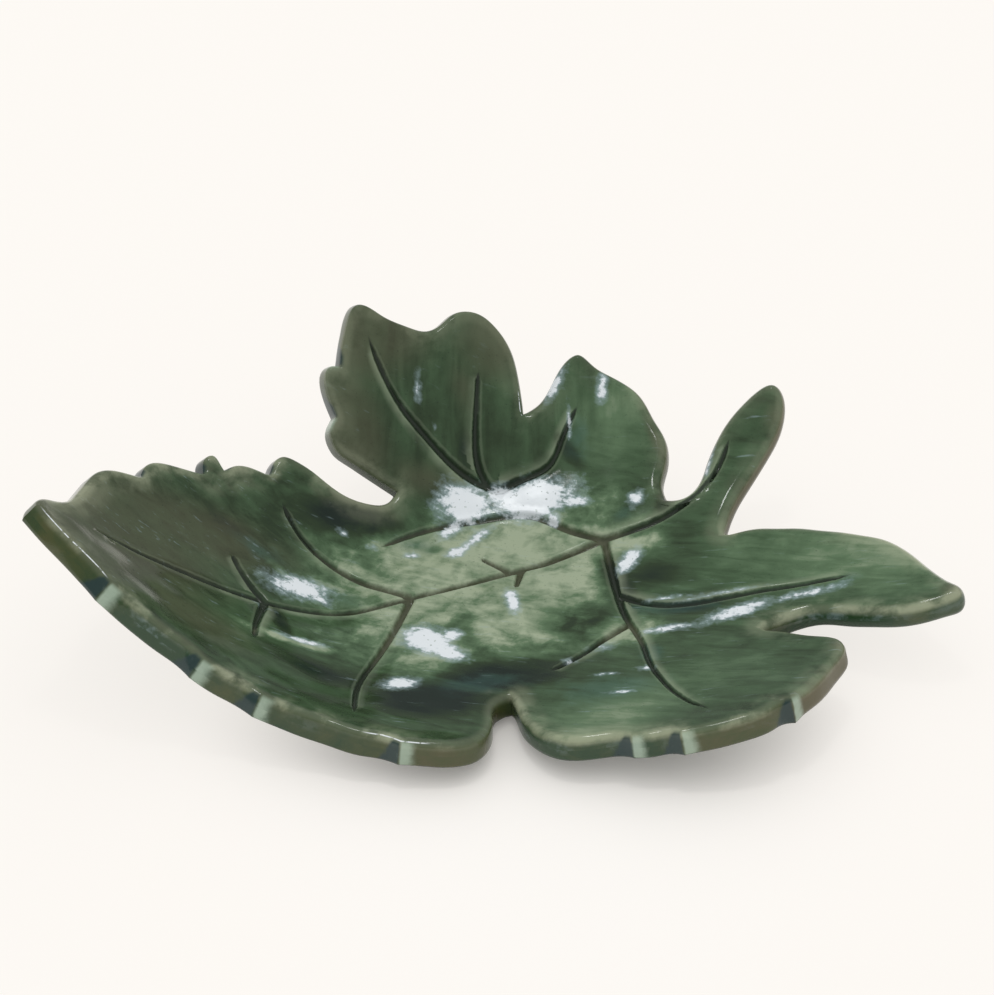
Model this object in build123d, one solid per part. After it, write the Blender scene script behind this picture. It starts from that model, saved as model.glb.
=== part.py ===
from build123d import *
import math
import os

# Ring dish: one clay slab in the shape of a five-lobed leaf with a spoon-like stem.
# Its lobes curl up round a flat floor, its veins are incised, and green glaze coats it.
# +X runs from the leaf's tip to its stem, +Z is up, and it rests on z = 0.

# Driving sizes of the leaf, in mm
LEAF_LENGTH = 140
LEAF_WIDTH = 98
SLAB_THICKNESS = 4.5
GLAZE_THICKNESS = 0.4

# Bowl: a flat floor, then a rise that steepens outwards
FLOOR_RADIUS = 17
RISE_REACH = 50
BOWL_RISE = 32
RISE_POWER = 1.65

# Bare clay patch that the dish stands on
PATCH_RADIUS = 14
PATCH_STANDS_PROUD = 0.3

# Rounded rim. A tip too sharp for all of the inset takes the largest share that fits,
# one that stays clear of the rim's far side by at least a share of itself.
RIM_ROUNDING = 1.3
INSET_SHARES = (1, 0.8, 0.6, 0.45, 0.3, 0.15)
CLEAR_SHARE = 0.9

# Incised veins: V grooves that narrow to a share of their width at the thin end
VEIN_WIDTH = 1.8
VEIN_DEPTH = 1.1
THIN_END_SHARE = 0.5

# How far cutting surfaces run past what they cut, and how finely curves are followed
OVERRUN = 0.5
SHEET_MARGIN = 8
SHEET_SPACING = 5
SHEET_TOLERANCE = 0.03
SHEET_DEGREE = 3
RIM_SPACING = 1.6
VEIN_SPACING = 3
PROBE = 0.05

# Rise of the bowl at RISE_REACH from the centre, one share of BOWL_RISE for each direction,
# in even steps all round from the stem, by way of the rear lobes, the tip and the front lobe
RISE_SHARES = [
    0.22, 0.36, 0.50, 0.68, 0.96, 1.00, 0.78, 0.60, 0.50,
    0.47, 0.34, 0.25, 0.20, 0.17, 0.17, 0.17, 0.135, 0.125,
]

# Outline in stretches that meet at corners: shares of the leaf's length and of its width
OUTLINE_SHARES = [
    # Main lobe, rear edge, from the tip along its saw teeth to the first notch
    [(-0.473, 0.126), (-0.467, 0.148), (-0.436, 0.176), (-0.398, 0.234), (-0.372, 0.273), (-0.350, 0.287),
     (-0.321, 0.291)],
    [(-0.321, 0.291), (-0.308, 0.314), (-0.275, 0.326), (-0.240, 0.323)],
    [(-0.240, 0.323), (-0.233, 0.343), (-0.221, 0.350), (-0.212, 0.333)],
    [(-0.212, 0.333), (-0.195, 0.342), (-0.157, 0.334)],
    [(-0.157, 0.334), (-0.147, 0.349), (-0.133, 0.357), (-0.117, 0.349), (-0.092, 0.326), (-0.070, 0.299),
     (-0.045, 0.284), (-0.022, 0.280), (-0.006, 0.292)],
    # Rear lobe, left edge, up to its first tip
    [(-0.006, 0.292), (-0.023, 0.310), (-0.048, 0.334), (-0.069, 0.356), (-0.071, 0.374), (-0.058, 0.393)],
    [(-0.058, 0.393), (-0.062, 0.417), (-0.059, 0.438), (-0.050, 0.446), (-0.037, 0.445)],
    [(-0.037, 0.445), (-0.030, 0.463), (-0.016, 0.491), (-0.003, 0.504), (0.010, 0.504), (0.030, 0.491),
     (0.055, 0.476), (0.080, 0.467), (0.100, 0.471), (0.120, 0.481), (0.140, 0.482), (0.161, 0.471),
     (0.178, 0.444), (0.184, 0.406), (0.180, 0.370), (0.175, 0.345)],
    # Rear right lobe
    [(0.175, 0.345), (0.195, 0.348), (0.220, 0.368), (0.243, 0.385), (0.259, 0.384), (0.272, 0.357),
     (0.293, 0.326), (0.307, 0.295), (0.315, 0.240), (0.318, 0.190), (0.308, 0.155), (0.294, 0.128),
     (0.291, 0.098)],
    # Stem
    [(0.291, 0.098), (0.307, 0.088), (0.328, 0.094), (0.352, 0.127), (0.382, 0.159), (0.412, 0.175),
     (0.436, 0.179), (0.453, 0.169), (0.458, 0.143), (0.446, 0.109), (0.420, 0.078), (0.390, 0.052),
     (0.361, 0.027), (0.342, 0.002), (0.330, -0.020)],
    # Right lobe
    [(0.330, -0.020), (0.362, -0.038), (0.389, -0.062), (0.415, -0.092), (0.447, -0.132), (0.470, -0.168),
     (0.488, -0.210), (0.499, -0.285), (0.506, -0.345), (0.509, -0.374), (0.501, -0.392), (0.476, -0.393),
     (0.436, -0.375), (0.403, -0.338), (0.379, -0.303), (0.353, -0.275), (0.324, -0.268), (0.297, -0.270)],
    # Front lobe, round to the second notch
    [(0.297, -0.270), (0.318, -0.308), (0.340, -0.345), (0.354, -0.378), (0.350, -0.406), (0.332, -0.433),
     (0.300, -0.467), (0.270, -0.495), (0.246, -0.510)],
    [(0.246, -0.510), (0.238, -0.503), (0.220, -0.510), (0.175, -0.512), (0.145, -0.502), (0.118, -0.490)],
    [(0.118, -0.490), (0.109, -0.474), (0.090, -0.466), (0.070, -0.453)],
    [(0.070, -0.453), (0.062, -0.438), (0.036, -0.424), (0.008, -0.405), (-0.012, -0.366),
     (-0.016, -0.300), (-0.012, -0.244)],
    # Main lobe, front edge, from the second notch back to the tip
    [(-0.012, -0.244), (-0.028, -0.252), (-0.048, -0.300), (-0.064, -0.334), (-0.085, -0.352),
     (-0.112, -0.350), (-0.140, -0.335), (-0.164, -0.320)],
    [(-0.164, -0.320), (-0.176, -0.299), (-0.195, -0.284), (-0.232, -0.240), (-0.262, -0.207),
     (-0.290, -0.177)],
    [(-0.290, -0.177), (-0.301, -0.155), (-0.318, -0.137), (-0.341, -0.109)],
    [(-0.341, -0.109), (-0.351, -0.085), (-0.372, -0.062), (-0.398, -0.026), (-0.417, 0.004)],
    [(-0.417, 0.004), (-0.425, 0.030), (-0.443, 0.066), (-0.462, 0.100), (-0.473, 0.126)],
]

# Vein paths in shares of the leaf's length and width, from the thick end to the thin end
VEIN_SHARES = {
    "midrib": [(0.202, 0.078), (0.060, 0.074), (-0.060, 0.068), (-0.130, 0.068), (-0.205, 0.086),
               (-0.290, 0.114), (-0.405, 0.138)],
    "stem": [(0.202, 0.078), (0.258, 0.066), (0.300, 0.068), (0.338, 0.081), (0.365, 0.105), (0.382, 0.130)],
    "floor_arc": [(0.202, 0.078), (0.170, 0.130), (0.140, 0.183), (0.094, 0.208), (0.045, 0.220),
                  (0.000, 0.222), (-0.050, 0.208)],
    "rear_left": [(0.116, 0.250), (0.080, 0.294), (0.052, 0.345), (0.020, 0.410), (0.005, 0.470)],
    "rear_middle": [(0.104, 0.262), (0.102, 0.300), (0.110, 0.340), (0.134, 0.413)],
    "rear_right": [(0.116, 0.250), (0.150, 0.252), (0.183, 0.255), (0.208, 0.284), (0.237, 0.316)],
    "main_rear": [(-0.048, 0.072), (-0.090, 0.137), (-0.120, 0.188), (-0.143, 0.240), (-0.153, 0.290)],
    "main_front": [(-0.048, 0.070), (-0.118, -0.052), (-0.166, -0.135), (-0.190, -0.215)],
    "tip_rear": [(-0.222, 0.092), (-0.234, 0.145), (-0.239, 0.188)],
    "tip_front": [(-0.222, 0.092), (-0.245, 0.034), (-0.259, -0.012)],
    "front_lobe": [(0.202, 0.078), (0.189, 0.003), (0.180, -0.049), (0.170, -0.123), (0.166, -0.194),
                   (0.156, -0.260), (0.153, -0.313), (0.159, -0.407), (0.168, -0.446)],
    "front_left": [(0.168, -0.140), (0.124, -0.164), (0.084, -0.189), (0.050, -0.203)],
    "right_lobe": [(0.179, -0.060), (0.205, -0.104), (0.237, -0.134), (0.324, -0.177), (0.420, -0.232)],
    "short_rear": [(0.080, 0.076), (0.058, 0.130)],
    "short_front": [(0.094, 0.075), (0.074, 0.030)],
}


def rise_in_direction(angle):
    """Rise at RISE_REACH in a direction: a smooth closed curve through the shares."""
    place = (angle / math.tau) % 1 * len(RISE_SHARES)
    first = int(place)
    t = place - first
    before, here, there, after = (
        RISE_SHARES[(first + step) % len(RISE_SHARES)] for step in (-1, 0, 1, 2)
    )
    bend = (3 * (here - there) + after - before) * t ** 3
    bend += (2 * before - 5 * here + 4 * there - after) * t ** 2
    return BOWL_RISE * (here + ((there - before) * t + bend) / 2)


def upper_height(x, y):
    """Height of the glazed upper face over a point of the plan."""
    out = max(math.hypot(x, y) - FLOOR_RADIUS, 0) / (RISE_REACH - FLOOR_RADIUS)
    rise = rise_in_direction(math.atan2(y, x)) * out ** RISE_POWER
    return PATCH_STANDS_PROUD + SLAB_THICKNESS + rise


def upper_point(x, y):
    """Point of the upper face, and the face's unit normal there."""
    slope_x = (upper_height(x + PROBE, y) - upper_height(x - PROBE, y)) / (2 * PROBE)
    slope_y = (upper_height(x, y + PROBE) - upper_height(x, y - PROBE)) / (2 * PROBE)
    return Vector(x, y, upper_height(x, y)), Vector(-slope_x, -slope_y, 1).normalized()


def plan_point(share):
    return Vector(share[0] * LEAF_LENGTH, share[1] * LEAF_WIDTH)


def sheet(depth):
    """Wide curved face that lies the given depth under the upper face."""
    half_x = LEAF_LENGTH / 2 + SHEET_MARGIN
    half_y = LEAF_WIDTH / 2 + SHEET_MARGIN
    count_x = math.ceil(2 * half_x / SHEET_SPACING)
    count_y = math.ceil(2 * half_y / SHEET_SPACING)
    rows = []
    for i in range(count_x + 1):
        row = []
        for j in range(count_y + 1):
            x = half_x * (2 * i / count_x - 1)
            y = half_y * (2 * j / count_y - 1)
            point, normal = upper_point(x, y)
            row.append(point - normal * depth)
        rows.append(row)
    return Face.make_surface_from_array_of_points(
        rows, tol=SHEET_TOLERANCE, min_deg=SHEET_DEGREE, max_deg=SHEET_DEGREE)


def slab(upper_depth, lower_depth):
    """Closed slab between two sheets, wider than the leaf on every side."""
    upper = sheet(upper_depth)
    lower = sheet(lower_depth)
    upper_edges = upper.outer_wire().edges()
    lower_edges = list(lower.outer_wire().edges())
    sides = []
    for edge in upper_edges:
        below = min(lower_edges, key=lambda e: (e.center() - edge.center()).length)
        sides.append(Face.make_surface_from_curves(edge, below))
    return Solid(Shell([upper, lower, *sides]))


def outline():
    """Stretches of the outline: each a list of (plan point, outward plan normal)."""
    stretches = []
    for shares in OUTLINE_SHARES:
        curve = Spline(*[plan_point(share) for share in shares])
        steps = max(math.ceil(curve.length / RIM_SPACING), 2)
        stretch = []
        for i in range(steps + 1):
            along = curve.tangent_at(i / steps)
            stretch.append((curve.position_at(i / steps), Vector(-along.Y, along.X)))
        stretches.append(stretch)
    for before, after in zip(stretches, stretches[1:] + stretches[:1]):
        shared = (before[-1][0], (before[-1][1] + after[0][1]).normalized())
        before[-1] = shared
        after[0] = shared
    return stretches


def clear_inset(point, normal, inset, others):
    """Largest share of an inset that doesn't cross the rim's far side, as at a sharp tip."""
    for share in INSET_SHARES:
        x = point.X - normal.X * share * inset
        y = point.Y - normal.Y * share * inset
        if all(math.hypot(x - other.X, y - other.Y) > CLEAR_SHARE * share * inset for other in others):
            return share * inset
    return 0


def rim_tube(stretches, side_inset, upper_depth, lower_depth):
    """Tube of ruled strips that follows the rim, square to the slab, with rounded lips."""
    rounding = RIM_ROUNDING - side_inset
    layers = [
        (upper_depth - OVERRUN, side_inset + rounding + OVERRUN),
        (upper_depth + rounding, side_inset),
        (lower_depth - rounding, side_inset),
        (lower_depth + OVERRUN, side_inset + rounding + OVERRUN),
    ]
    others = [point for stretch in stretches for point, _ in stretch]
    strips = []
    for stretch in stretches:
        lines = [[] for _ in layers]
        for point, normal in stretch:
            place, up = upper_point(point.X, point.Y)
            out = (normal - up * normal.dot(up)).normalized()
            deepest = layers[0][1]
            lip = clear_inset(point, normal, deepest, others) / deepest
            for line, (depth, inset) in zip(lines, layers):
                line.append(place - up * depth - out * (inset if inset < deepest else lip * inset))
        parameters = [i / (len(stretch) - 1) for i in range(len(stretch))]
        curves = [Edge.make_spline(line, parameters=parameters) for line in lines]
        for high, low in zip(curves, curves[1:]):
            strips.append(Face.make_surface_from_curves(high, low))
    return Shell(strips)


def leaf_slab(inset):
    """Leaf between its two faces and inside its rim, all set in by the same distance."""
    wide = slab(inset, SLAB_THICKNESS - inset)
    tube = rim_tube(outline(), inset, inset, SLAB_THICKNESS - inset)
    pieces = wide.split(tube, keep=Keep.ALL).solids()
    return min(pieces, key=lambda piece: piece.bounding_box().size.length)


def vein_cutter(shares, inset):
    """Closed V-shaped bar along a vein, for a face that lies the inset under the glazed one."""
    half_angle = math.atan2(VEIN_WIDTH / 2, VEIN_DEPTH)
    curve = Spline(*[plan_point(share) for share in shares])
    steps = max(math.ceil(curve.length / VEIN_SPACING), 2)
    left, right, bottom = [], [], []
    for i in range(steps + 1):
        along = curve.tangent_at(i / steps)
        plan = curve.position_at(i / steps)
        place, up = upper_point(plan.X, plan.Y)
        side = up.cross(along).normalized()
        share = 1 - (1 - THIN_END_SHARE) * i / steps
        depth = VEIN_DEPTH * share + inset / math.sin(half_angle)
        half_width = (depth + OVERRUN) * math.tan(half_angle)
        left.append(place + up * OVERRUN + side * half_width)
        right.append(place + up * OVERRUN - side * half_width)
        bottom.append(place - up * depth)
    parameters = [i / steps for i in range(steps + 1)]
    lines = [Edge.make_spline(points, parameters=parameters) for points in (left, bottom, right)]
    walls = [Face.make_surface_from_curves(lines[i], lines[(i + 1) % 3]) for i in range(3)]
    for end in (0, -1):
        walls.append(Face(Wire.make_polygon([left[end], bottom[end], right[end]])))
    return Solid(Shell(walls))


def with_veins(leaf, inset):
    """The leaf with every vein cut into its upper face."""
    cut = leaf.cut(*[vein_cutter(shares, inset) for shares in VEIN_SHARES.values()])
    return max(cut.solids(), key=lambda piece: piece.volume)


def patch_block(base):
    """Round block from a height up into the clay, over the bare patch."""
    top = PATCH_STANDS_PROUD + GLAZE_THICKNESS + OVERRUN
    block = Solid.make_cylinder(PATCH_RADIUS, top - base)
    return block.moved(Location((0, 0, base)))


def clay_and_glaze():
    """The clay slab, and all the glaze round it but for the bare patch."""
    glazed = with_veins(leaf_slab(0), 0)
    bare = with_veins(leaf_slab(GLAZE_THICKNESS), GLAZE_THICKNESS)
    glaze = glazed.cut(bare, patch_block(-OVERRUN)).solid()
    clay = bare.fuse(patch_block(0)).solid()
    return clay, glaze


def main():
    os.makedirs("parts", exist_ok=True)
    clay, glaze = clay_and_glaze()
    coats = glaze.split(sheet(SLAB_THICKNESS / 2), keep=Keep.ALL).solids()
    back_glaze, face_glaze = sorted(coats, key=lambda coat: coat.center().Z)
    nodes = {"clay_body": clay, "face_glaze": face_glaze, "back_glaze": back_glaze}
    for name, solid in nodes.items():
        solid.label = name
        export_step(solid, f"parts/{name}.step")
        print(name, round(solid.volume), "mm3, sound:", solid.is_valid)


main()
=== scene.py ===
import math
from collections import namedtuple
from functools import lru_cache
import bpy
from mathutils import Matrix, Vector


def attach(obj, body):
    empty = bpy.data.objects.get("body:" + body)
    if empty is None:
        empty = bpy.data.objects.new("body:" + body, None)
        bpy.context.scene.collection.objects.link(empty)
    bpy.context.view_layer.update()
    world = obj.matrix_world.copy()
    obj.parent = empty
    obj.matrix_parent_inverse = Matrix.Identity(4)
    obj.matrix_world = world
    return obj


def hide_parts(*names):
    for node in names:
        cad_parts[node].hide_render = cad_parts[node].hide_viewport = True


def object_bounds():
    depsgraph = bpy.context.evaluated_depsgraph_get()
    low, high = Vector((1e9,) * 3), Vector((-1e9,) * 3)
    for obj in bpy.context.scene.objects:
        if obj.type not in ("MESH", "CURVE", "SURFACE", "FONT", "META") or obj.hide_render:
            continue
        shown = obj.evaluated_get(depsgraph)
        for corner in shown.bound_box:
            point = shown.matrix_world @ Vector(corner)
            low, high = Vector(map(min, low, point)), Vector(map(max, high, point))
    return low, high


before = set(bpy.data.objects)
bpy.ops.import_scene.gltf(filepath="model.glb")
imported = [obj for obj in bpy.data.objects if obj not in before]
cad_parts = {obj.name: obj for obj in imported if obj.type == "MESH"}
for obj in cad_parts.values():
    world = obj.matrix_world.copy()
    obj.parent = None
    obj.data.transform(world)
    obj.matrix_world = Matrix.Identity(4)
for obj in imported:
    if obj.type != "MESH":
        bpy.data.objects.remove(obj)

from types import SimpleNamespace

import bmesh
import bpy
import numpy as np
from mathutils import Vector
from mathutils.geometry import delaunay_2d_cdt

bl_info = {
    "name": "Leaf Ring Dish",
    "version": (1, 0, 0),
    "blender": (4, 5, 0),
    "location": "View3D > Sidebar > Leaf Dish",
    "description": "Glazed ceramic ring dish in the shape of a lobed leaf",
    "category": "Object",
}

CAD_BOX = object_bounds()

# Rise of the bowl in even steps all round from the stem: shares of the bowl's rise
RISE_SHARES = np.array([
    0.22, 0.36, 0.50, 0.68, 0.96, 1.00, 0.78, 0.60, 0.50,
    0.47, 0.34, 0.25, 0.20, 0.17, 0.17, 0.17, 0.135, 0.125,
])

# Plan points are in thousandths of the leaf's length and of its width
THOUSAND = 1000

# Outline in stretches that meet at corners
OUTLINE = [
    # Main lobe, rear edge, from the tip along its saw teeth to the first notch
    [(-473, 126), (-467, 148), (-436, 176), (-398, 234), (-372, 273), (-350, 287), (-321, 291)],
    [(-321, 291), (-308, 314), (-275, 326), (-240, 323)],
    [(-240, 323), (-233, 343), (-221, 350), (-212, 333)],
    [(-212, 333), (-195, 342), (-157, 334)],
    [(-157, 334), (-147, 349), (-133, 357), (-117, 349), (-92, 326), (-70, 299), (-45, 284), (-22, 280),
     (-6, 292)],
    # Rear lobe, left edge, up to its first tip
    [(-6, 292), (-23, 310), (-48, 334), (-69, 356), (-71, 374), (-58, 393)],
    [(-58, 393), (-62, 417), (-59, 438), (-50, 446), (-37, 445)],
    [(-37, 445), (-30, 463), (-16, 491), (-3, 504), (10, 504), (30, 491), (55, 476), (80, 467), (100, 471),
     (120, 481), (140, 482), (161, 471), (178, 444), (184, 406), (180, 370), (175, 345)],
    # Rear right lobe
    [(175, 345), (195, 348), (220, 368), (243, 385), (259, 384), (272, 357), (293, 326), (307, 295),
     (315, 240), (318, 190), (308, 155), (294, 128), (291, 98)],
    # Stem
    [(291, 98), (307, 88), (328, 94), (352, 127), (382, 159), (412, 175), (436, 179), (453, 169),
     (458, 143), (446, 109), (420, 78), (390, 52), (361, 27), (342, 2), (330, -20)],
    # Right lobe
    [(330, -20), (362, -38), (389, -62), (415, -92), (447, -132), (470, -168), (488, -210), (499, -285),
     (506, -345), (509, -374), (501, -392), (476, -393), (436, -375), (403, -338), (379, -303), (353, -275),
     (324, -268), (297, -270)],
    # Front lobe, round to the second notch
    [(297, -270), (318, -308), (340, -345), (354, -378), (350, -406), (332, -433), (300, -467), (270, -495),
     (246, -510)],
    [(246, -510), (238, -503), (220, -510), (175, -512), (145, -502), (118, -490)],
    [(118, -490), (109, -474), (90, -466), (70, -453)],
    [(70, -453), (62, -438), (36, -424), (8, -405), (-12, -366), (-16, -300), (-12, -244)],
    # Main lobe, front edge, from the second notch back to the tip
    [(-12, -244), (-28, -252), (-48, -300), (-64, -334), (-85, -352), (-112, -350), (-140, -335),
     (-164, -320)],
    [(-164, -320), (-176, -299), (-195, -284), (-232, -240), (-262, -207), (-290, -177)],
    [(-290, -177), (-301, -155), (-318, -137), (-341, -109)],
    [(-341, -109), (-351, -85), (-372, -62), (-398, -26), (-417, 4)],
    [(-417, 4), (-425, 30), (-443, 66), (-462, 100), (-473, 126)],
]

# Lip radius of each stretch of the outline, in shares of the rim's rounding: cut edges are sharper,
# and the stem and the right lobe are rolled
LIP_SHARES = (
    0.8, 0.7, 0.7, 0.7, 0.8, 0.8, 0.8, 1, 1.1, 1.4, 1.4, 0.9, 0.7, 0.7, 0.8, 0.7, 0.6, 0.6, 0.6, 0.6)

# Colour of each stretch's side, from 0 for green to 1 for brown
SIDE_TONES = (
    0.5, 0.4, 0.4, 0.4, 0.3, 0.2, 0.2, 0.3, 0.6, 0.9, 0.1, 1, 0.6, 0.1, 0, 0.7, 0.4, 0.3, 0.2, 0.5)

# Strength of each stretch's pale lip
LIP_TONES = (0.9, 0.9, 0.9, 0.9, 0.7, 0.4, 0.4, 0.3, 0.35, 0.5, 1, 0.8, 1, 1, 1, 1, 1, 1, 1, 0.6)

# The outline's corners that are saw teeth, as the numbers of the stretches that start there
TEETH = (1, 2, 3, 4, 6, 7, 12, 13, 14, 16, 17, 18, 19)

# Vein paths from the thick end to the thin end
VEINS = {
    "midrib": [(202, 78), (60, 74), (-60, 68), (-130, 68), (-205, 86), (-290, 114), (-405, 138)],
    "stem": [(202, 78), (258, 66), (300, 68), (338, 81), (365, 105), (382, 130)],
    "floor_arc": [(202, 78), (170, 130), (140, 183), (94, 208), (45, 220), (0, 222), (-50, 208)],
    "rear_left": [(116, 250), (80, 294), (52, 345), (20, 410), (5, 470)],
    "rear_middle": [(104, 262), (102, 300), (110, 340), (134, 413)],
    "rear_right": [(116, 250), (150, 252), (183, 255), (208, 284), (237, 316)],
    "main_rear": [(-48, 72), (-90, 137), (-120, 188), (-143, 240), (-153, 290)],
    "main_front": [(-48, 70), (-118, -52), (-166, -135), (-190, -215)],
    "tip_rear": [(-222, 92), (-234, 145), (-239, 188)],
    "tip_front": [(-222, 92), (-245, 34), (-259, -12)],
    "front_lobe": [(202, 78), (189, 3), (180, -49), (170, -123), (166, -194), (156, -260), (153, -313),
                   (159, -407), (168, -446)],
    "front_left": [(168, -140), (124, -164), (84, -189), (50, -203)],
    "right_lobe": [(179, -60), (205, -104), (237, -134), (324, -177), (420, -232)],
    "short_rear": [(80, 76), (58, 130)],
    "short_front": [(94, 75), (74, 30)],
}

# Oval spots of the glaze, each with its place in plan, its half length and half breadth in thousandths
# of the leaf's length, its turn in degrees and its strength. The milk spots are milky breaks in the glaze
# and painted reflections of a window, and the glint spots place painted highlight lines on the lip
SPOTS = {
    "milk": [
        (70, 246, 36, 24, -14, 1.0), (45, 215, 26, 12, 20, 0.8), (147, 211, 48, 22, -16, 1.1),
        (116, 246, 24, 12, -10, 0.9), (190, 176, 24, 8, -34, 0.8), (160, 160, 10, 12, 0, 0.7),
        (63, 178, 44, 10, 22, 0.6), (32, 160, 14, 10, 10, 0.8), (-172, 132, 46, 22, -18, 0.8),
        (-150, 105, 20, 12, -50, 0.6), (-62, -48, 30, 24, -50, 1.0), (-45, -92, 26, 15, -60, 0.9),
        (-30, -50, 16, 14, 0, 0.8), (-120, -150, 22, 12, -8, 0.9), (59, -6, 28, 11, 75, 0.8),
        (212, 8, 24, 12, 30, 0.9), (222, 362, 26, 8, 32, 0.7), (257, 122, 14, 12, 40, 0.8),
        (205, -186, 42, 9, -15, 0.7), (285, -206, 50, 15, -5, 0.75), (370, -230, 55, 12, -16, 0.65),
        (290, -150, 80, 4, -18, 0.4), (230, -108, 40, 4, -22, 0.5), (-204, -5, 36, 6, -22, 0.7),
        (52, 407, 22, 7, 68, 0.5), (62, 365, 12, 4, 80, 0.45), (272, 321, 18, 9, 60, 0.7),
        (350, 112, 24, 5, 50, 0.65), (222, 300, 34, 5, 70, 0.5), (212, 400, 18, 6, 60, 0.5),
        (-90, 240, 12, 7, -40, 0.5), (-61, 209, 12, 6, -30, 0.5), (-18, 179, 14, 8, -22, 0.55),
        (78, -191, 14, 8, -22, 0.6), (103, -320, 26, 5, -22, 0.5), (100, -258, 30, 5, -24, 0.45),
        (148, -272, 16, 8, -22, 0.5), (-230, 85, 34, 5, -40, 0.35), (120, -180, 30, 20, -20, 0.2),
    ],
    "pale": [
        (40, 120, 130, 50, -4, 1.35), (60, -30, 60, 60, -20, 1.2), (-80, -50, 70, 45, -30, 1.0),
        (155, -150, 50, 25, -20, 0.7), (165, 80, 60, 30, -10, 1.0), (235, 35, 30, 14, -15, 0.8),
        (-40, 30, 100, 35, -6, 1.0), (60, 240, 60, 14, -10, 0.4), (85, 15, 50, 40, -10, 1.5),
        (-210, -10, 50, 8, -22, 0.9), (-185, 165, 10, 30, 30, 0.6),
    ],
    "pool": [
        (228, -40, 52, 28, -22, 0.5), (112, -95, 42, 32, -20, 0.95), (-100, -210, 50, 28, -20, 1.2),
        (0, -185, 60, 26, -12, 1.2), (-72, 262, 60, 20, -16, 1.0), (140, 245, 36, 12, -20, 0.8),
        (-320, 120, 90, 24, 0, 0.3), (210, 260, 14, 40, 20, 0.6), (-230, 240, 60, 24, -10, 0.4),
        (290, 95, 30, 16, 30, 0.7), (-200, -90, 80, 30, -35, 0.6), (-215, 40, 10, 35, 0, 0.8),
        (245, -150, 50, 20, -26, 0.6), (-140, 40, 40, 20, 0, 0.4), (90, 330, 20, 60, -20, 0.5),
        (10, 180, 20, 12, 0, 0.5), (190, -20, 16, 60, 0, 0.8),
    ],
    "olive": [
        (-400, 130, 110, 75, 20, 1.2), (-280, 220, 110, 40, -10, 1.0), (-330, 10, 80, 40, -40, 0.8),
        (308, 200, 10, 60, 0, 0.6), (440, 120, 30, 20, 40, 0.4), (500, -375, 18, 14, 0, 0.8),
        (-40, 370, 40, 50, 0, 1.0), (160, 440, 50, 35, 0, 0.8), (10, 470, 70, 30, 0, 1.0),
        (345, -400, 14, 18, 0, 0.6), (30, 300, 60, 25, -20, 0.6), (110, 400, 30, 40, 0, 0.4),
    ],
    "glint": [
        (-440, 70, 50, 20, -50, 1.0), (-170, -290, 55, 15, -45, 1.0), (-250, -190, 12, 10, -45, 0.8),
        (170, 360, 12, 20, 0, 0.8),
    ],
    "teal": [
        (165, -235, 14, 20, -22, 1.0), (230, -130, 60, 20, -25, 0.9), (225, 270, 40, 30, 60, 0.5),
        (-200, 200, 50, 20, -30, 0.5), (90, -300, 90, 50, -20, 0.6), (240, 110, 30, 14, 20, 0.7),
        (400, -240, 60, 20, -10, 0.5), (-40, -190, 90, 30, -15, 0.6), (-10, 200, 50, 20, -20, 0.5),
        (-130, 110, 60, 30, -20, 0.4),
    ],
}

# Slow changes of the glaze's tone: the same six values a spot, the last one being how much paler it is
TONE_SPOTS = [
    (272, 270, 60, 50, 70, 0.3), (440, -210, 110, 60, -25, 0.32), (360, -80, 70, 40, -25, 0.17),
    (80, -370, 110, 50, 0, 0.3), (230, -360, 90, 60, 0, 0.06), (-410, 130, 60, 40, 20, -0.03),
    (-300, -20, 120, 40, -35, 0.04), (130, 400, 60, 60, 0, 0.02), (-180, 270, 80, 30, 0, -0.06),
    (0, 330, 60, 50, 0, -0.03), (290, -60, 40, 40, -20, -0.04), (-100, -200, 100, 40, -20, -0.1),
    (470, -320, 50, 40, 0, 0.12),
]

# Where the rear lobes start, behind which the glaze has run down instead of being brushed, in shares
# of the leaf's width and length, and the turns of the brush marks and the drips in degrees
REAR_START_SHARE = 0.20
REAR_LEFT_SHARE = 0.10
REAR_BLEND_SHARE = 0.10
BRUSH_TURN = -38
DRIP_TURN = -22

# Hand-made unevenness of the slab in metres: heights, and wavelengths with the turn of their first wave.
# The rim's wobble is held to a lip's reach divided by its parts
SWELL_HEIGHT = 0.00014
SWELL_WAVES = (0.021, 0.4)
RIPPLE_HEIGHT = 0.00004
RIPPLE_WAVES = (0.006, 1.1)
BACK_SWELL_HEIGHT = 0.00008
BACK_SWELL_LIFT = 1.5
BACK_SWELL_WAVES = (0.021, 3.1)
WOBBLE_HEIGHT = 0.0003
WOBBLE_WAVES = (0.009, 2.3)
WOBBLE_PARTS = 3

# Sine waves that each unevenness is the sum of: how many, how their lengths grow, how their phases
# follow from the turn and the number, and the turn from one to the next in radians
WAVE_COUNT = 6
WAVE_STRETCH = (0.8, 0.1)
WAVE_PHASES = (5, 1.7)
GOLDEN_TURN = 2.4

# Veins: their taper, their fading end, their soft lips in half widths, and the valleys round them.
# Towards the rim the unevenness fades out over so many of the rim's roundings
VEIN_TAPER = 0.45
VEIN_END = 1.02
VEIN_END_RATE = 12
LEAST_VEIN_SHARE = 0.2
LIP_HEIGHT = 0.00012
LIP_PLACE = 1.25
LIP_BREADTH = 0.35
VALLEY_DEPTH = 0.00035
VALLEY_WIDTH = 0.0028
RELIEF_FADE = 3

# Rows of mesh points beside the veins, in half widths, with their least gap in metres
ROW_SHARES = (0, -0.28, 0.28, -0.55, 0.55, -0.8, 0.8, -1.05, 1.05, -1.4, 1.4, -1.9, 1.9)
ROW_GAP = 0.00017
ROW_STEP = 2
ROW_CLEAR_SHARE = 0.8
LEAST_ROW_SHARE = 0.3

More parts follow.
